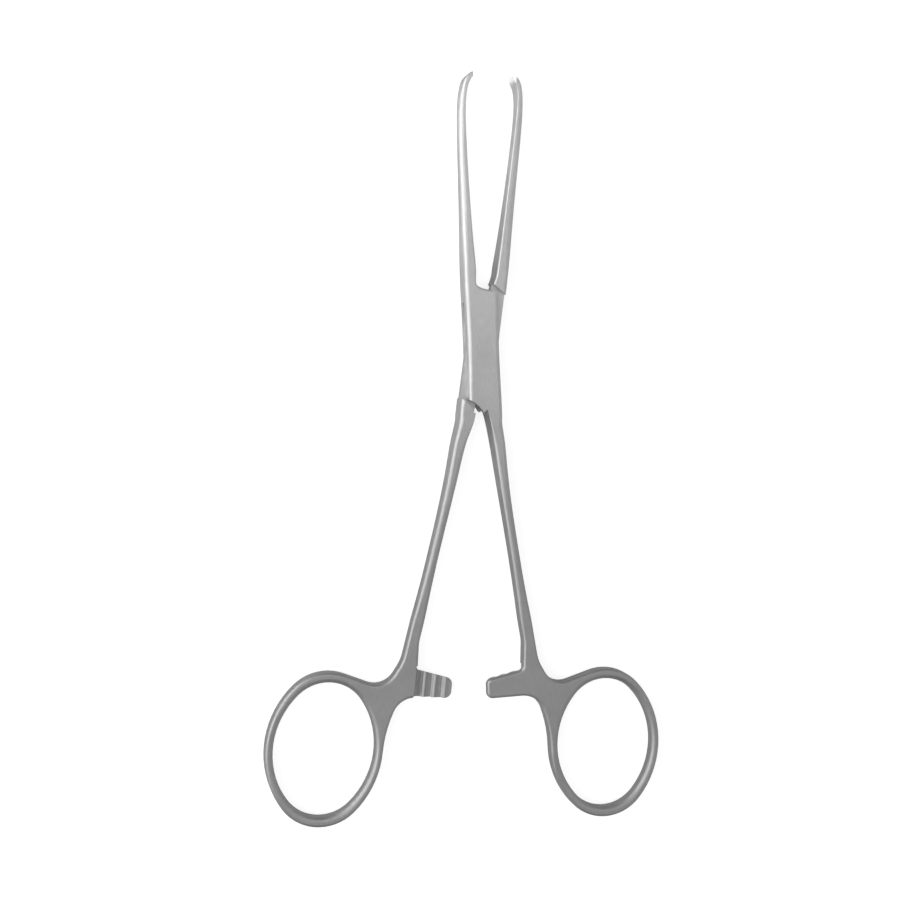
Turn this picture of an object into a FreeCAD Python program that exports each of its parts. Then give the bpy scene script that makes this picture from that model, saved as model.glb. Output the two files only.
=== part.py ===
import FreeCAD, Part
import math
import os

# Ring-handled tissue forceps with a box lock, in millimetres.
# It lies on its back: the jaws and handles spread in the XY plane and the thickness runs along +Z.
# The lock's pivot axis is X = Y = 0, the lock's underside is Z = 0, and the jaws point to +Y.
# Each half is drawn with its jaw at upper left and its ring at lower right, as if the forceps
# were nearly closed. The tongue half is mirrored, and each is turned about the pivot to rest.
# A length is measured along the forceps from the pivot, a reach sideways from the middle line.

# Turn of each half from the drawing to the open rest position, in degrees
rest_turn = 3.9

# Main sizes
jaw_length = 55.6
handle_length = 84.0
ring_reach = 24.37
lock_thickness = 5.0
handle_thickness = 3.1

# Box lock
lock_half_waist = 3.35
lock_half_shoulder = 3.45
edge_round = 0.85
cheek_top_length = 10.9
crotch_length = 12.15
crotch_reach = 2.2
crotch_floor_length = 12.4
crotch_floor_reach = 0.5
crotch_turn_length = 13.0
crotch_turn_reach = 0.8
crotch_round = 0.4
tail_corner_length = 9.98
tail_tip_length = 12.79
tail_tip_reach = 0.38
tail_rise = 0.37
notch_length = 12.15
notch_reach = 0.4

# Tongue, which passes through the slot between the cheeks
tongue_thickness = 1.65
tongue_radius = 10.1
tongue_half_width = 3.2
tongue_low_reach = 0.2
tongue_top_reach = 0.3
slot_face_gap = 0.05
slot_end_gap = 0.2
slot_side_gap = 0.4
shoulder_gap = 0.35
shoulder_length = 13.55
shoulder_reach = 0.65
shoulder_slope = 32.6

# Rivet, ground flush with both cheeks
rivet_radius = 1.5
rivet_head_radius = 1.9
rivet_head_depth = 0.4
rivet_running_gap = 0.04
rivet_seat_gap = 0.01

# Jaw: root at the lock, then a thin springy blade with a rounded back, hooked in at its tip
jaw_root_length = 16.0
jaw_root_outer_reach = 3.6
jaw_root_inner_reach = 1.1
hook_length = 6.1
tip_reach = 0.5
tip_height = 0.88
tip_trim = 0.12
tip_turn = 78.0
tip_breadth = 4.2
bite_pitch = 0.8
bite_depth = 0.6
bite_land = 0.12

# Shank
shank_start_length = 13.7
shank_start_outer_reach = 3.62
box_shank_inner_reach = 0.75
tongue_shank_inner_reach = 0.4
shank_end_width = 2.5
shank_lean = 8.3
shank_root_run = 2.5
shank_last_run = 1.4

# Handle: finger ring, web and ratchet bar, placed from the ring's centre
ring_to_shank_end = 27.0
ring_to_shank_side = 16.67
hole_half_width = 10.42
hole_half_length = 13.78
hole_end_radius = 8.4
hole_round_share = 0.6
band_side = 1.7
band_end = 2.15
band_end_radius = 9.85
rim_round_share = 0.37
ring_to_bar = 11.65
bar_depth = 4.0
bar_end_overlap = 1.2
bar_corner = 1.3
bar_slope = 11.1
bar_root_set_in = 0.3
bar_root_round = 1.0
neck_inner_length = 3.8
neck_outer_length = 8.4
neck_lean = 28.0
neck_round = 8.0
saddle_slope = 16.0
saddle_round = 4.4
web_low_round = 4.65
web_side_radius = 26.0

# Ratchet teeth, across the inner face of each bar
ratchet_wall_set_in = 0.4
ratchet_gap = 0.06
tooth_pitch = 2.2
tooth_depth = 0.6
tooth_count = 3
first_tooth_reach = 0.7
tooth_rise = 0.2
tooth_land = 0.2
tooth_valley = 0.3
end_land_reach = 0.6
end_land_drop = 0.3

# Worked out from the sizes above
middle = lock_thickness / 2
slot_radius = tongue_radius + slot_end_gap
slot_thickness = tongue_thickness + 2 * slot_face_gap
far_out = 3 * lock_half_shoulder
root_outer = (-jaw_root_outer_reach, jaw_root_length)
root_inner = (-jaw_root_inner_reach, jaw_root_length)
start_outer = (shank_start_outer_reach, -shank_start_length)
ring_x = ring_reach
ring_y = -handle_length
ring_half_width = hole_half_width + band_side
ring_half_length = hole_half_length + band_end
hole_round = hole_round_share * band_side
rim_round = rim_round_share * band_side
shank_end_x = ring_x - ring_to_shank_side
shank_end_y = ring_y + ring_to_shank_end
bar_low_y = ring_y + ring_to_bar
bar_top_y = bar_low_y + bar_depth
bar_end_x = -bar_end_overlap


def at(x, y, z=0.0):
    return FreeCAD.Vector(x, y, z)


def line(a, b):
    return Part.LineSegment(at(*a), at(*b)).toShape()


def arc(a, through, b):
    return Part.Arc(at(*a), at(*through), at(*b)).toShape()


def spline(points, start, end):
    curve = Part.BSplineCurve()
    curve.interpolate(Points=[at(*p) for p in points], InitialTangent=at(*start), FinalTangent=at(*end))
    return curve.toShape()


def slab(edges, low, high):
    face = Part.Face(Part.Wire(edges))
    face.translate(at(0, 0, low))
    return face.extrude(at(0, 0, high - low))


def lean(angle):
    """Direction of a run that leans from -Y towards +X"""
    return (math.sin(math.radians(angle)), -math.cos(math.radians(angle)))


def corner_arc(before, corner, after, radius):
    """Exact tangent arc at a corner, with its two ends"""
    u = (at(*before) - at(*corner)).normalize()
    v = (at(*after) - at(*corner)).normalize()
    half = u.getAngle(v) / 2
    reach = radius / math.tan(half)
    a = at(*corner) + u * reach
    b = at(*corner) + v * reach
    axis = (u + v).normalize()
    top = at(*corner) + axis * (radius / math.sin(half) - radius)
    return (a.x, a.y), (top.x, top.y), (b.x, b.y)


def section(x, y, turn, width, thickness, left_round, right_round):
    """Rounded rectangle across an arm; turn leans the arm's run from +Y towards +X"""
    c = math.cos(math.radians(turn))
    s = math.sin(math.radians(turn))
    points = []
    for bearing, r in ((0, right_round), (90, left_round), (180, left_round), (270, right_round)):
        side = 1 if bearing in (0, 270) else -1
        top = 1 if bearing in (0, 90) else -1
        for step in range(5):
            a = math.radians(bearing + 22.5 * step)
            across = side * (width / 2 - r) + r * math.cos(a)
            up = top * (thickness / 2 - r) + r * math.sin(a)
            points.append(FreeCAD.Vector(x + across * c, y - across * s, middle + up))
    edges = []
    for i in range(0, 20, 5):
        edges.append(Part.Arc(points[i], points[i + 1], points[i + 2]).toShape())
        edges.append(Part.Arc(points[i + 2], points[i + 3], points[i + 4]).toShape())
        edges.append(Part.LineSegment(points[i + 4], points[(i + 5) % 20]).toShape())
    return Part.Wire(edges)


def loft(sections):
    return Part.makeLoft([section(*s) for s in sections], True, False, False, 3)


def round_over(solid, runs, radius):
    """Rounds the top and bottom edges that lie over the given plan edges"""
    chosen = []
    for edge in solid.Edges:
        spot = edge.valueAt((edge.FirstParameter + edge.LastParameter) / 2)
        level = edge.valueAt(edge.FirstParameter).z - edge.valueAt(edge.LastParameter).z
        foot = Part.Vertex(at(spot.x, spot.y))
        if abs(level) < 1e-6 and min(foot.distToShape(run)[0] for run in runs) < 1e-4:
            chosen.append(edge)
    return solid.makeFillet(radius, chosen)


def outer_side():
    """Outer side of the lock, from the jaw's root down to its waist"""
    return [root_outer, (-lock_half_waist, 0)]


def shank_side():
    """Outer side of the lock above the shank, from the shank's start up to its waist"""
    return [start_outer, (lock_half_waist, 0)]


def tail_arc():
    """Centre, radius and two bearings of the hollow edge where the cheeks end over the tongue"""
    a = at(-lock_half_shoulder, -tail_corner_length)
    b = at(-tail_tip_reach, -tail_tip_length)
    half = a.distanceToPoint(b) / 2
    radius = (half ** 2 + tail_rise ** 2) / (2 * tail_rise)
    along = (b - a).normalize()
    centre = (a + b) / 2 - at(-along.y, along.x) * (radius - tail_rise)
    bearings = [math.degrees(math.atan2(p.y - centre.y, p.x - centre.x)) for p in (a, b)]
    return (centre.x, centre.y), radius, bearings


def box_block():
    """The box half's lock: two cheeks, with the slot between them"""
    centre, radius, bearings = tail_arc()
    corner = (-lock_half_shoulder, -tail_corner_length)
    tail_tip = (-tail_tip_reach, -tail_tip_length)
    notch = (notch_reach, -notch_length)
    start_inner = (box_shank_inner_reach, -shank_start_length)
    cheek_top = (lock_half_shoulder, cheek_top_length)
    crotch_start = (crotch_reach, crotch_length)
    crotch_floor = (crotch_floor_reach, crotch_floor_length)
    crotch_turn = (-crotch_turn_reach, crotch_turn_length)
    left = spline(outer_side() + [corner], (0, -1), (0, -1))
    right = spline(shank_side() + [cheek_top], (0, 1), (0, 1))
    crotch = spline([crotch_start, crotch_floor, crotch_turn, root_inner], (-1, 0), (0, 1))
    edges = [left, arc_about(centre, radius, *bearings), line(tail_tip, notch), line(notch, start_inner)]
    edges += [line(start_inner, start_outer), right, line(cheek_top, crotch_start), crotch]
    block = slab(edges + [line(root_inner, root_outer)], 0, lock_thickness)
    block = round_over(block, [left, right], edge_round)
    return round_over(block, [crotch], crotch_round)


def slot():
    """Room for the tongue: a disc about the pivot, open at upper right and lower left"""
    low = middle - slot_thickness / 2
    disc = Part.makeCylinder(slot_radius, slot_thickness, at(0, 0, low))
    top_wall = tongue_top_reach - slot_side_gap
    low_wall = slot_side_gap - tongue_low_reach
    upper = Part.makeBox(far_out, far_out * 2, slot_thickness, at(top_wall, 0, low))
    lower = Part.makeBox(far_out, far_out * 2, slot_thickness, at(low_wall - far_out, -far_out * 2, low))
    return disc.fuse([upper, lower])


def on_tongue(reach, side):
    """Point on the tongue's round end, above (1) or below (-1) the pivot"""
    return (reach, side * math.sqrt(tongue_radius ** 2 - reach ** 2))


def tongue_block():
    """The tongue half's lock, full thickness, before its two faces are cut back"""
    low_end = on_tongue(-tongue_half_width, -1)
    low_inner = on_tongue(tongue_low_reach, -1)
    top_end = on_tongue(tongue_half_width, 1)
    top_inner = on_tongue(-tongue_top_reach, 1)
    start_inner = (tongue_shank_inner_reach, -shank_start_length)
    shoulder = (-shoulder_reach, shoulder_length)
    left = spline(outer_side() + [low_end], (0, -1), (0.15, -1))
    right = spline(shank_side() + [top_end], (0, 1), (-0.15, 1))
    low_arc = arc(low_end, on_tongue(-tongue_half_width / 2, -1), low_inner)
    top_arc = arc(top_end, on_tongue(tongue_half_width / 2, 1), top_inner)
    crotch = spline([top_inner, shoulder, root_inner], (-0.05, 1), (0, 1))
    edges = [left, low_arc, line(low_inner, start_inner), line(start_inner, start_outer), right]
    edges += [top_arc, crotch, line(root_inner, root_outer)]
    block = slab(edges, 0, lock_thickness)
    block = round_over(block, [left, right], edge_round)
    return round_over(block, [crotch], crotch_round)


def tongue_recess(low, high):
    """What is cut from one face of the tongue half, between its two shoulders"""
    centre, radius, bearings = tail_arc()
    centre = (-centre[0], centre[1])
    radius -= shoulder_gap
    bearing = 180 - bearings[1]
    start = (centre[0], centre[1] + radius)
    low_y = centre[1] + radius * math.sin(math.radians(bearing))
    end = (centre[0] + radius * math.cos(math.radians(bearing)), low_y)
    slope = math.tan(math.radians(shoulder_slope))
    far_left = (-far_out, shoulder_length - slope * (far_out - shoulder_reach))
    far_right = (far_out, shoulder_length + slope * (far_out + shoulder_reach))
    edges = [arc_about(centre, radius, 90, bearing), line(end, (-far_out, low_y))]
    edges += [line((-far_out, low_y), far_left), line(far_left, far_right)]
    edges += [line(far_right, (far_out, start[1])), line((far_out, start[1]), start)]
    return slab(edges, low, high)


def jaw():
    """Loft from the jaw's root to its tip: a blade with a rounded back, then the hook"""
    root_width = jaw_root_outer_reach - jaw_root_inner_reach
    root_x = -(jaw_root_outer_reach + jaw_root_inner_reach) / 2
    blade = jaw_length - hook_length - jaw_root_length
    sections = [(root_x, jaw_root_length, 0, root_width, lock_thickness, edge_round, crotch_round)]
    # Share of the blade, reach, turn, width, thickness, rounding of the back and of the inner side
    for share, reach, turn, width, thickness, back, inner in (
            (0.07, 2.41, 0, 2.45, 4.86, 0.95, 0.40),
            (0.16, 2.52, 0, 2.32, 4.40, 1.08, 0.38),
            (0.33, 2.64, 0, 2.10, 3.60, 1.15, 0.33),
            (0.60, 2.78, 1, 1.78, 2.95, 1.10, 0.27),
            (0.85, 2.83, 3, 1.55, 2.78, 0.98, 0.22),
            (1.00, 2.67, 7, 1.34, 3.05, 0.82, 0.20)):
        sections.append((-reach, jaw_root_length + share * blade, turn, width, thickness, back, inner))
    # Distance back from the tip, reach, turn, width, part of the tip's breadth, the same two roundings
    for back_by, reach, turn, width, part, back, inner in (
            (3.30, 2.32, 17, 1.15, 0.85, 0.65, 0.17),
            (1.45, 1.77, 36, 1.10, 0.95, 0.45, 0.15),
            (0.40, 1.05, 60, 1.00, 0.99, 0.32, 0.15),
            (0.00, tip_reach - tip_trim, tip_turn, tip_height, 1.0, 0.30, 0.15)):
        sections.append((-reach, jaw_length - back_by, turn, width, part * tip_breadth, back, inner))
    return loft(sections)


def shank(inner_reach):
    """Loft from the lock to the handle, with a slight bow"""
    width = shank_start_outer_reach - inner_reach
    start = (shank_start_outer_reach + inner_reach) / 2
    run = shank_end_y + shank_start_length
    dx, dy = lean(shank_lean)
    e = edge_round
    root_outer_x = shank_start_outer_reach + 0.07
    root_inner_x = inner_reach + 0.47
    root_y = -shank_start_length - shank_root_run
    sections = [
        (start, -shank_start_length, 0, width, lock_thickness, 0.15, e),
        ((root_outer_x + root_inner_x) / 2, root_y, -3, root_outer_x - root_inner_x, 4.91, 0.3, e),
    ]
    # Share of the way down, bow, turn, width, thickness and rounding
    middle_start = (shank_start_outer_reach + box_shank_inner_reach) / 2
    for share, bow, turn, width, thickness, r in (
            (0.145, 0.06, -6.5, 2.46, 4.55, 0.7),
            (0.284, 0.20, -7.0, 2.21, 4.10, 0.8),
            (0.561, 0.21, -7.5, 1.96, 3.50, 0.82),
            (0.838, 0.11, -8.1, 2.18, 3.17, 0.8)):
        x = middle_start + share * (shank_end_x - middle_start) - bow
        sections.append((x, -shank_start_length + share * run, turn, width, thickness, r, r))
    last = (shank_end_x - shank_last_run * dx, shank_end_y - shank_last_run * dy)
    t = handle_thickness
    r = rim_round
    sections.append((*last, -shank_lean, shank_end_width - 0.03, t, r, r))
    sections.append((shank_end_x, shank_end_y, -shank_lean, shank_end_width, t, r, r))
    return loft(sections)


def arc_about(centre, radius, start, end):
    """Arc about a centre, between two bearings in degrees"""
    points = []
    for bearing in (start, (start + end) / 2, end):
        a = math.radians(bearing)
        points.append((centre[0] + radius * math.cos(a), centre[1] + radius * math.sin(a)))
    return arc(*points)


def rounded(points, radii):
    """Straight runs between points, with a tangent arc at each inner point"""
    edges = []
    start = points[0]
    for before, corner, after, radius in zip(points, points[1:], points[2:], radii):
        a, through, b = corner_arc(before, corner, after, radius)
        edges += [line(start, a), arc(a, through, b)]
        start = b
    return edges + [line(start, points[-1])]


def crossing(a, along_a, b, along_b):
    """Where two lines meet, each given by a point and a direction"""
    turn = along_a[0] * along_b[1] - along_a[1] * along_b[0]
    k = ((b[0] - a[0]) * along_b[1] - (b[1] - a[1]) * along_b[0]) / turn
    return (a[0] + k * along_a[0], a[1] + k * along_a[1])


def oval(rx, ry, end_radius, saddle=None):
    """Tangent arcs round the ring: closed, or from the left side round to where the web's top meets it"""
    side_radius = (rx ** 2 + ry ** 2 - 2 * ry * end_radius) / (2 * (rx - end_radius))
    shift = side_radius - rx
    rise = ry - end_radius
    join = math.degrees(math.atan2(rise, shift))
    first = 180 - join if saddle is None else 180
    last = 180 - join if saddle is None else 90 + saddle
    return [
        arc_about((ring_x + shift, ring_y), side_radius, first, 180 + join),
        arc_about((ring_x, ring_y - rise), end_radius, 180 + join, 360 - join),
        arc_about((ring_x - shift, ring_y), side_radius, -join, join),
        arc_about((ring_x, ring_y + rise), end_radius, join, last),
    ]


def shank_end(side):
    """Corner of the shank's end on its inner (-1) or outer (+1) side"""
    dx, dy = lean(shank_lean)
    w = side * shank_end_width / 2
    return (shank_end_x - w * dy, shank_end_y + w * dx)


def bar_side():
    """Corners of the bar's outline, from the shank's inner side to the bar's lower left"""
    start = shank_end(-1)
    dx, dy = lean(shank_lean)
    neck = (start[0] + neck_inner_length * dx, start[1] + neck_inner_length * dy)
    root_x = neck[0] - bar_root_set_in
    root = (root_x, bar_top_y + (root_x - bar_end_x) * math.tan(math.radians(bar_slope)))
    return [start, neck, root, (bar_end_x, bar_top_y), (bar_end_x, bar_low_y)]


def web_under():
    """Two tangent arcs from the bar's underside to the ring's left side, and where they start"""
    far = (ring_x - ring_half_width - web_side_radius, ring_y)
    near_y = bar_low_y - web_low_round
    reach = web_side_radius - web_low_round
    near = (far[0] + math.sqrt(reach ** 2 - (near_y - ring_y) ** 2), near_y)
    bearing = math.degrees(math.atan2(near_y - ring_y, near[0] - far[0]))
    arcs = [arc_about(near, web_low_round, 90, bearing), arc_about(far, web_side_radius, bearing, 0)]
    return (near[0], bar_low_y), arcs


def web_over():
    """From the ring's top over the saddle to the shank's outer side"""
    slope = math.radians(saddle_slope)
    end_y = ring_y + ring_half_length - band_end_radius
    start = (ring_x - band_end_radius * math.sin(slope), end_y + band_end_radius * math.cos(slope))
    end = shank_end(1)
    dx, dy = lean(shank_lean)
    neck = (end[0] + neck_outer_length * dx, end[1] + neck_outer_length * dy)
    low = crossing(start, (math.cos(slope), math.sin(slope)), neck, lean(neck_lean))
    return rounded([start, low, neck, end], [saddle_round, neck_round])


def handle():
    """Web, finger ring and bar as one plate of even thickness with rounded edges"""
    low_root, under = web_under()
    inner = rounded(bar_side() + [low_root], [neck_round, bar_root_round, bar_corner, bar_corner])
    edges = inner + under + oval(ring_half_width, ring_half_length, band_end_radius, saddle_slope) + web_over()
    low = middle - handle_thickness / 2
    high = middle + handle_thickness / 2
    plate = slab(edges + [line(shank_end(1), shank_end(-1))], low, high)
    plate = round_over(plate, edges, rim_round)
    rim = oval(hole_half_width, hole_half_length, hole_end_radius)
    plate = plate.cut(slab(rim, low - 1, high + 1))
    return round_over(plate, rim, hole_round)


def ratchet_cut(front):
    """What is cut from the bar: half of its thickness, leaving teeth that hold against opening"""
    side = 1 if front else -1
    crest = ratchet_gap
    root = crest + tooth_depth
    land = crest + end_land_drop
    valley_x = first_tooth_reach + (tooth_count - 1) * tooth_pitch + tooth_rise + tooth_valley
    wall_x = bar_side()[2][0] + ratchet_wall_set_in
    wall_radius = wall_x - valley_x
    deep = -handle_thickness - wall_radius
    points = [(wall_x, deep), (bar_end_x - 2, deep), (bar_end_x - 2, land), (-end_land_reach, land)]
    for i in range(tooth_count):
        steep = first_tooth_reach + i * tooth_pitch
        points += [(steep - tooth_land, crest), (steep, crest), (steep + tooth_rise, root)]
        points += [(steep + tooth_rise + tooth_valley, root)]
    low_y = bar_low_y - 2
    loop = [FreeCAD.Vector(x, low_y, middle + side * z) for x, z in points]
    a = math.radians(45)
    bend = (valley_x + wall_radius * math.sin(a), root - wall_radius + wall_radius * math.cos(a))
    through = FreeCAD.Vector(bend[0], low_y, middle + side * bend[1])
    foot = FreeCAD.Vector(wall_x, low_y, middle + side * (root - wall_radius))
    wall = [Part.Arc(loop[-1], through, foot).toShape(), Part.LineSegment(foot, loop[0]).toShape()]
    face = Part.Face(Part.Wire(Part.makePolygon(loop).Edges + wall))
    return face.extrude(at(0, bar_side()[2][1] - bar_low_y + 3, 0))


def bites(shift):
    """What leaves teeth across the tip's end; the two halves' notches are half a pitch apart"""
    half = (bite_pitch - bite_land) / 2
    count = math.ceil(tip_breadth / bite_pitch)
    rows = [(i + shift) * bite_pitch for i in range(-count, count + 1)]
    rows = [z for z in rows if abs(z) < tip_breadth / 2]
    tip_x = -tip_reach
    root_x = tip_x - bite_depth
    out_x = tip_x + bite_depth
    profile = []
    for z in rows:
        profile += [(tip_x, z - half), (root_x, z), (tip_x, z + half)]
    end_x = tip_x
    if rows[-1] + half > tip_breadth / 2:
        end_x = root_x
        profile = profile[1:-1]
    profile = [(end_x, -tip_breadth)] + profile + [(end_x, tip_breadth)]
    profile += [(out_x, tip_breadth), (out_x, -tip_breadth)]
    loop = [FreeCAD.Vector(x, jaw_length - 2 * tip_height, middle + z) for x, z in profile]
    face = Part.Face(Part.makePolygon(loop + [loop[0]]))
    return face.extrude(at(0, 4 * tip_height, 0))


def bore(gap, head_gap):
    """Hole for the rivet; the cheeks' hole opens to a cone at each face for the rivet's head"""
    hole = Part.makeCylinder(rivet_radius + gap, lock_thickness + 2, at(0, 0, -1))
    if head_gap is None:
        return hole
    wide = rivet_head_radius + head_gap
    low = Part.makeCone(wide, rivet_radius + gap, rivet_head_depth, at(0, 0, 0))
    high = Part.makeCone(rivet_radius + gap, wide, rivet_head_depth, at(0, 0, lock_thickness - rivet_head_depth))
    return hole.fuse([low, high])


def lock_rivet():
    shaft = Part.makeCylinder(rivet_radius, lock_thickness)
    low = Part.makeCone(rivet_head_radius, rivet_radius, rivet_head_depth)
    high = Part.makeCone(rivet_radius, rivet_head_radius, rivet_head_depth,
                         at(0, 0, lock_thickness - rivet_head_depth))
    return shaft.fuse([low, high]).removeSplitter()


def half_forging(block, inner_reach, front, shift):
    """Jaw, lock block, shank and handle in one, with the ratchet and the tip's teeth cut"""
    arm = jaw().cut(bites(shift))
    grip = handle().cut(ratchet_cut(front))
    return block.fuse([arm, shank(inner_reach), grip])


def box_half():
    half = half_forging(box_block().cut(slot()), box_shank_inner_reach, True, 0.0)
    half = half.cut(bore(rivet_seat_gap, rivet_seat_gap))
    half.rotate(at(0, 0), at(0, 0, 1), rest_turn)
    return half


def tongue_half():
    half = half_forging(tongue_block(), tongue_shank_inner_reach, False, 0.5)
    low = middle - tongue_thickness / 2
    high = middle + tongue_thickness / 2
    half = half.cut([tongue_recess(-1, low), tongue_recess(high, lock_thickness + 1)])
    half = half.cut(bore(rivet_running_gap, None))
    half = half.mirror(at(0, 0), at(1, 0, 0))
    half.rotate(at(0, 0), at(0, 0, 1), -rest_turn)
    return half


def main():
    os.makedirs("parts", exist_ok=True)
    nodes = {"box_half": box_half(), "tongue_half": tongue_half(), "lock_rivet": lock_rivet()}
    for name, shape in nodes.items():
        shape.exportStep("parts/" + name + ".step")


main()
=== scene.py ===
import math

import bpy
from mathutils import Matrix, Vector


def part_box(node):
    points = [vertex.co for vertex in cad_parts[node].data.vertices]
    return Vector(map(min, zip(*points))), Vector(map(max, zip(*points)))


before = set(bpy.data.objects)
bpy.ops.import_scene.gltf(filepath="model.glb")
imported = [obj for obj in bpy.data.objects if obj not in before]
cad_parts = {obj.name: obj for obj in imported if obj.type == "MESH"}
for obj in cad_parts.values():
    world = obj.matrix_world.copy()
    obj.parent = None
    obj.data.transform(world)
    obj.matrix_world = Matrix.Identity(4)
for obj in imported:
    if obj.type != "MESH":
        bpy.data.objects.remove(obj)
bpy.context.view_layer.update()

# All lengths are in metres. These come from the frame: the lock's thickness, the height of its middle
# and the reach of the tips
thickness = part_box("lock_rivet")[1].z
middle = thickness / 2
tip_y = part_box("box_half")[1].y

# Camera: its place, its tilts and roll in degrees, its nearest reach, and its lens as a focal length in
# pixels of the picture
camera_place = Vector((-0.07618, -0.00475, middle + 0.29092))
camera_tilt_x = 13.6
camera_tilt_y = -3.05
camera_roll = 2.02
camera_near = 0.01
picture_px = 900
focal_px = 1461.3
sensor_mm = 36.0

# Floor: half its width, its drop under the object, its colour, and how strongly it glows to the camera
# and in the steel
floor_half = 1.6
floor_drop = 0.00002
floor_albedo = 0.62
floor_seen_glow = 0.78
floor_mirrored_glow = 0.03

# Surround that the steel reflects: its brightness round about, at each side, at the far end, and overhead
# towards the rings and towards the tips
sky_round = 0.18
sky_left = 0.74
sky_right = 0.55
sky_far = 0.12
sky_over_rings = 0.38
sky_over_tips = 1.05

# Directions between which each part of the surround fades, from -1 to 1 along an axis
over_fade_z = (0.78, 0.95)
over_rise_y = (-0.25, 0.2)
left_fade_x = (-0.9, -0.3)
right_fade_x = (0.2, 0.8)
far_fade_y = (0.2, 0.7)

# Soft lamps to the left: two high ones, one past the jaws' tips and one beside the rings, and a small low
# one. Powers are in watts
key_x = -0.26
key_z = 0.27
key_height = 0.20
key_jaws_y = 0.155
key_jaws_length = 0.21
key_jaws_power = 0.20
key_rings_y = -0.10
key_rings_length = 0.15
key_rings_power = 0.28
low_place = (-0.25, 0.09, 0.07)
low_aim = (0, 0.03, 0)
low_size = 0.11
low_power = 0.12

# Steel: its tone at the rings, the lock and the tips, and where the tone of the rings turns into the
# lock's. This tone is painted light and shade: darker at the rings as painted shade and paler towards the
# tips as painted light. The rivet is a shade darker, and all of it is slightly blue
ring_painted_shade_tone = 0.555
steel_lock = 0.82
tip_painted_light_tone = 0.95
ring_to_lock_y = (-0.045, 0.005)
rivet_shade = 0.97
blue_tint = 1.01
steel_rough = 0.54

# Soft clouds in the steel: their scale, and how far they change its tone and roughness
cloud_scale = 140.0
cloud_detail = 3.0
cloud_stretch = (1, 1, 1)
cloud_span = (0.3, 0.7)
cloud_tone = 0.04
cloud_rough = 0.03

# Fine brushed grain that runs lengthwise, and how far it changes tone, roughness and relief
grain_scale = 5200.0
grain_detail = 2.0
grain_stretch = (1, 0.12, 1)
grain_tone_span = (0.25, 0.75)
grain_tone = 0.05
grain_rough_span = (0.2, 0.8)
grain_rough = 0.03
relief_depth = 0.00001
relief_strength = 0.25

# Ratchet teeth, with a painted highlight on each crest and painted shade in each valley. A bar stands
# square to the middle line of its half, which is turned by half_turn from the object's. Places along a
# bar are counted from that line, and a crest's place within its pitch. No tooth lies further than
# tooth_face_depth from the middle of the thickness
half_turn = math.radians(3.9)
tooth_pitch = 0.0022
crest_span = (0.00022, 0.00092)
teeth_span = (0.0001, 0.0066)
bar_span_y = (-0.0745, -0.0655)
tooth_face_depth = 0.0008
mark_soft = 0.00012
crest_painted_highlight = 0.72
valley_painted_shade = 0.22


def node(tree, kind, **settings):
    """New node with its settings"""
    made = tree.nodes.new(kind)
    for name, value in settings.items():
        setattr(made, name, value)
    return made


def set_inputs(made, **values):
    """Sets sockets by name, with _ for a space"""
    for name, value in values.items():
        made.inputs[name.replace("_", " ")].default_value = value


def link(tree, a, a_out, b, b_in):
    tree.links.new(a.outputs[a_out], b.inputs[b_in])


def new_material(name):
    material = bpy.data.materials.new(name)
    material.use_nodes = True
    material.node_tree.nodes.clear()
    return material, material.node_tree


def math_node(tree, operation, a, b):
    """Result of an operation on two values, each a number or a socket"""
    made = node(tree, "ShaderNodeMath", operation=operation)
    for index, value in enumerate((a, b)):
        if isinstance(value, (int, float)):
            made.inputs[index].default_value = value
        else:
            tree.links.new(value, made.inputs[index])
    return made.outputs[0]


def ramp(tree, source, span, values, kind="SMOOTHSTEP"):
    """Carries a value from a span to a pair of values, held at both ends"""
    made = node(tree, "ShaderNodeMapRange", interpolation_type=kind)
    tree.links.new(source, made.inputs["Value"])
    set_inputs(made, From_Min=span[0], From_Max=span[1], To_Min=values[0], To_Max=values[1])
    return made.outputs["Result"]


def between(tree, value, span):
    """1 where a value lies within a span, with soft ends"""
    low, high = span
    rise = ramp(tree, value, (low - mark_soft, low + mark_soft), (0.0, 1.0))
    fall = ramp(tree, value, (high - mark_soft, high + mark_soft), (1.0, 0.0))
    return math_node(tree, "MULTIPLY", rise, fall)


def noise(tree, coordinate, stretch, scale, detail):
    """Grey noise, stretched by a scale per axis"""
    mapping = node(tree, "ShaderNodeMapping")
    mapping.inputs["Scale"].default_value = stretch
    tree.links.new(coordinate, mapping.inputs["Vector"])
    made = node(tree, "ShaderNodeTexNoise")
    set_inputs(made, Scale=scale, Detail=detail)
    tree.links.new(mapping.outputs["Vector"], made.inputs["Vector"])
    return made.outputs[0]


def crest_highlight_and_valley_shade(tree, axes, side):
    """Painted highlight and painted shade on the ratchet teeth: how much paler a tooth's crest is
    painted, and how
    much darker its valley: 0 off the teeth. side is 1 on the box half, whose teeth face down, and -1 on
    the tongue half"""
    across = math_node(tree, "MULTIPLY", axes.outputs["X"], side * math.cos(half_turn))
    along = math_node(tree, "MULTIPLY", axes.outputs["Y"], math.sin(half_turn))
    reach = math_node(tree, "ADD", across, along)
    # Painted highlight on each tooth's crest and painted shade in its valley
    crest = between(tree, math_node(tree, "MODULO", reach, tooth_pitch), crest_span)
    level = math_node(tree, "MULTIPLY", crest, crest_painted_highlight + valley_painted_shade)
    level = math_node(tree, "SUBTRACT", level, valley_painted_shade)
    row = between(tree, reach, teeth_span)
    bar = between(tree, axes.outputs["Y"], bar_span_y)
    edge = middle + side * tooth_face_depth
    face_span = (edge - side * mark_soft, edge + side * mark_soft)
    face = ramp(tree, axes.outputs["Z"], face_span, (1.0, 0.0))
    teeth = math_node(tree, "MULTIPLY", math_node(tree, "MULTIPLY", row, bar), face)
    return math_node(tree, "MULTIPLY", teeth, level)


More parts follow.
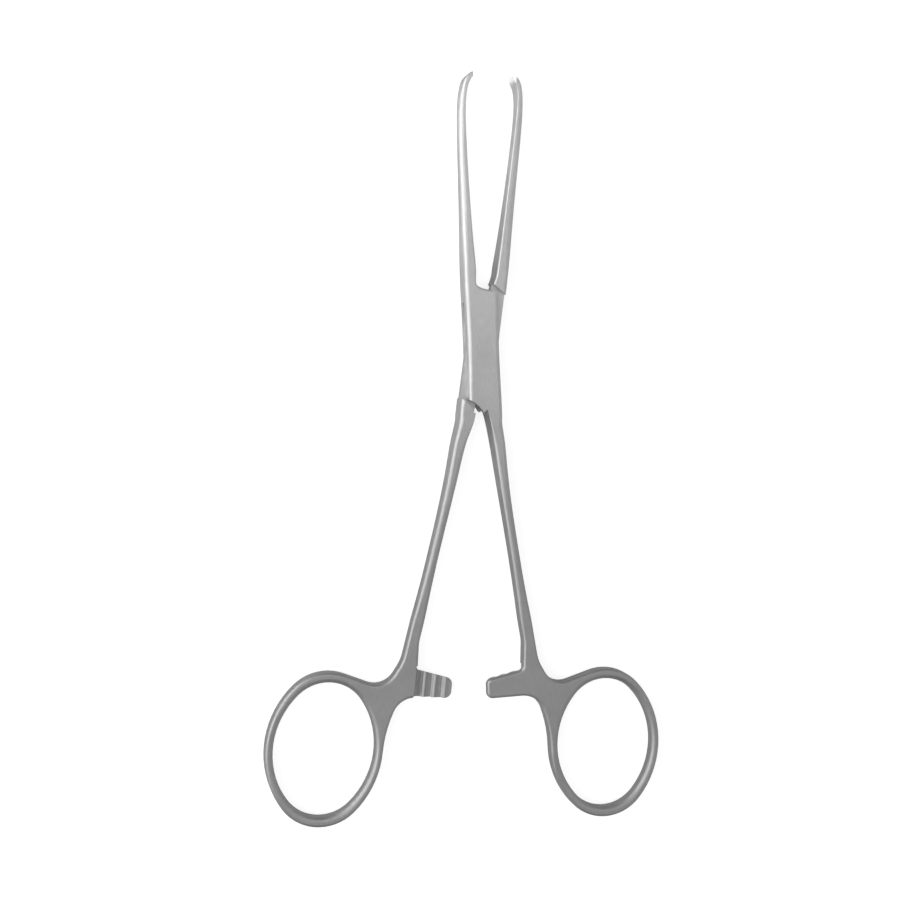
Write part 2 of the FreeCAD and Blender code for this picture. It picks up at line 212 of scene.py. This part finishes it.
def satin_steel(name, shade, side):
    """Satin stainless steel, finely brushed lengthwise, with painted light and shade: darker at the
    rings, paler towards the tips, pale ratchet crests and dark valleys
    """
    material, tree = new_material(name)
    out = node(tree, "ShaderNodeOutputMaterial")
    shader = node(tree, "ShaderNodeBsdfPrincipled")
    set_inputs(shader, Metallic=1.0)
    link(tree, shader, 0, out, 0)
    coordinate = node(tree, "ShaderNodeTexCoord").outputs["Object"]
    axes = node(tree, "ShaderNodeSeparateXYZ")
    tree.links.new(coordinate, axes.inputs[0])
    cloud = noise(tree, coordinate, cloud_stretch, cloud_scale, cloud_detail)
    grain = noise(tree, coordinate, grain_stretch, grain_scale, grain_detail)

    # Painted light and shade: the steel is painted darker from the lock to the rings and paler from the
    # lock to the tips
    ring_to_lock_painted_shade = ramp(tree, axes.outputs["Y"], ring_to_lock_y, (ring_painted_shade_tone * shade, steel_lock * shade))
    paler_tips_painted_light = ramp(tree, axes.outputs["Y"], (0.0, tip_y), (0.0, (tip_painted_light_tone - steel_lock) * shade))
    tone = math_node(tree, "ADD", ring_to_lock_painted_shade, paler_tips_painted_light)
    clouded = ramp(tree, cloud, cloud_span, (1 - cloud_tone, 1 + cloud_tone))
    grained = ramp(tree, grain, grain_tone_span, (1 - grain_tone, 1 + grain_tone))
    tone = math_node(tree, "MULTIPLY", tone, clouded)
    tone = math_node(tree, "MULTIPLY", tone, grained)
    if side:
        # Painted highlights on the ratchet crests and painted shade in their valleys
        painted_teeth_light = math_node(tree, "ADD", crest_highlight_and_valley_shade(tree, axes, side), 1.0)
        tone = math_node(tree, "MULTIPLY", tone, painted_teeth_light)
    colour = node(tree, "ShaderNodeCombineColor")
    tree.links.new(tone, colour.inputs["Red"])
    tree.links.new(tone, colour.inputs["Green"])
    tree.links.new(math_node(tree, "MULTIPLY", tone, blue_tint), colour.inputs["Blue"])
    link(tree, colour, 0, shader, "Base Color")

    rough = ramp(tree, cloud, cloud_span, (steel_rough - cloud_rough, steel_rough + cloud_rough))
    rougher = ramp(tree, grain, grain_rough_span, (-grain_rough, grain_rough))
    tree.links.new(math_node(tree, "ADD", rough, rougher), shader.inputs["Roughness"])
    relief = node(tree, "ShaderNodeBump")
    set_inputs(relief, Strength=relief_strength, Distance=relief_depth)
    tree.links.new(grain, relief.inputs["Height"])
    link(tree, relief, 0, shader, "Normal")
    return material


def dress():
    """Gives each piece its own steel, with painted highlights on the teeth's crests and painted shade in
    their valleys on the two halves
    """
    looks = (("box_half", 1.0, 1), ("tongue_half", 1.0, -1), ("lock_rivet", rivet_shade, 0))
    for name, shade, side in looks:
        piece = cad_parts[name]
        piece.data.materials.clear()
        piece.data.materials.append(satin_steel(name + "_steel", shade, side))


def floor_white():
    """Floor material that looks white to the camera and still takes the object's shadow"""
    material, tree = new_material("floor_white")
    out = node(tree, "ShaderNodeOutputMaterial")
    diffuse = node(tree, "ShaderNodeBsdfDiffuse")
    set_inputs(diffuse, Color=(floor_albedo, floor_albedo, floor_albedo, 1.0))
    glow = node(tree, "ShaderNodeEmission")
    path = node(tree, "ShaderNodeLightPath")
    seen = math_node(tree, "MAXIMUM", path.outputs["Is Camera Ray"], path.outputs["Is Transmission Ray"])
    seen = math_node(tree, "MULTIPLY", seen, floor_seen_glow)
    mirrored = math_node(tree, "MULTIPLY", path.outputs["Is Glossy Ray"], floor_mirrored_glow)
    tree.links.new(math_node(tree, "MAXIMUM", seen, mirrored), glow.inputs["Strength"])
    both = node(tree, "ShaderNodeAddShader")
    link(tree, diffuse, 0, both, 0)
    link(tree, glow, 0, both, 1)
    link(tree, both, 0, out, 0)
    return material


def floor():
    mesh = bpy.data.meshes.new("floor")
    corners = [(x, y, -floor_drop) for x, y in ((-floor_half, -floor_half), (floor_half, -floor_half),
                                                (floor_half, floor_half), (-floor_half, floor_half))]
    mesh.from_pydata(corners, [], [(0, 1, 2, 3)])
    mesh.materials.append(floor_white())
    plane = bpy.data.objects.new("floor", mesh)
    bpy.context.scene.collection.objects.link(plane)


def surround():
    """World that is white to the camera, and in the steel a dim studio, brightest over the tips' end"""
    world = bpy.data.worlds.new("studio")
    world.use_nodes = True
    bpy.context.scene.world = world
    tree = world.node_tree
    tree.nodes.clear()
    out = node(tree, "ShaderNodeOutputWorld")
    white = node(tree, "ShaderNodeBackground")
    set_inputs(white, Color=(1, 1, 1, 1), Strength=1.0)
    axes = node(tree, "ShaderNodeSeparateXYZ")
    link(tree, node(tree, "ShaderNodeTexCoord"), "Generated", axes, 0)
    x, y, z = axes.outputs["X"], axes.outputs["Y"], axes.outputs["Z"]
    overhead = ramp(tree, z, over_fade_z, (0.0, 1.0))
    rise = ramp(tree, y, over_rise_y, (sky_over_rings - sky_round, sky_over_tips - sky_round), "LINEAR")
    left = ramp(tree, x, left_fade_x, (sky_left - sky_round, 0.0))
    right = ramp(tree, x, right_fade_x, (0.0, sky_right - sky_round))
    far = ramp(tree, y, far_fade_y, (0.0, sky_far - sky_round))
    level = math_node(tree, "MULTIPLY", overhead, rise)
    for part in (left, right, far):
        level = math_node(tree, "ADD", level, part)
    level = math_node(tree, "ADD", level, sky_round)
    dim = node(tree, "ShaderNodeBackground")
    tree.links.new(level, dim.inputs["Strength"])
    mix = node(tree, "ShaderNodeMixShader")
    link(tree, node(tree, "ShaderNodeLightPath"), "Is Camera Ray", mix, 0)
    link(tree, dim, 0, mix, 1)
    link(tree, white, 0, mix, 2)
    link(tree, mix, 0, out, 0)


def area_lamp(name, place, aim, length, height, power):
    """Soft lamp whose length lies level"""
    light = bpy.data.lights.new(name, "AREA")
    light.shape = "RECTANGLE"
    light.size = length
    light.size_y = height
    light.energy = power
    lamp = bpy.data.objects.new(name, light)
    lamp.location = place
    lamp.rotation_euler = (Vector(aim) - Vector(place)).to_track_quat("-Z", "Y").to_euler()
    lamp.visible_camera = False
    bpy.context.scene.collection.objects.link(lamp)


def lamps():
    keys = (("key_jaws", key_jaws_y, key_jaws_length, key_jaws_power),
            ("key_rings", key_rings_y, key_rings_length, key_rings_power))
    for name, y, length, power in keys:
        area_lamp(name, (key_x, y, key_z), (0, y, 0), length, key_height, power)
    area_lamp("low_left", low_place, low_aim, low_size, low_size, low_power)


def camera():
    """Camera that looks down on the object from its left, with no shift"""
    tilt_x = math.radians(camera_tilt_x)
    tilt_y = math.radians(camera_tilt_y)
    back = Vector((-math.sin(tilt_x) * math.cos(tilt_y), -math.sin(tilt_y),
                   math.cos(tilt_x) * math.cos(tilt_y)))
    right = Vector((0, 1, 0)).cross(back).normalized()
    up = back.cross(right)
    roll = math.radians(camera_roll)
    x_axis = math.cos(roll) * right + math.sin(roll) * up
    y_axis = -math.sin(roll) * right + math.cos(roll) * up
    lens = bpy.data.cameras.new("camera")
    lens.sensor_width = sensor_mm
    lens.lens = focal_px / picture_px * sensor_mm
    lens.clip_start = camera_near
    eye = bpy.data.objects.new("camera", lens)
    turn = Matrix((x_axis, y_axis, back)).transposed()
    eye.matrix_world = Matrix.Translation(camera_place) @ turn.to_4x4()
    bpy.context.scene.collection.objects.link(eye)
    bpy.context.scene.camera = eye


dress()
floor()
surround()
lamps()
camera()
bpy.context.scene.view_settings.view_transform = "Standard"
bpy.context.view_layer.update()
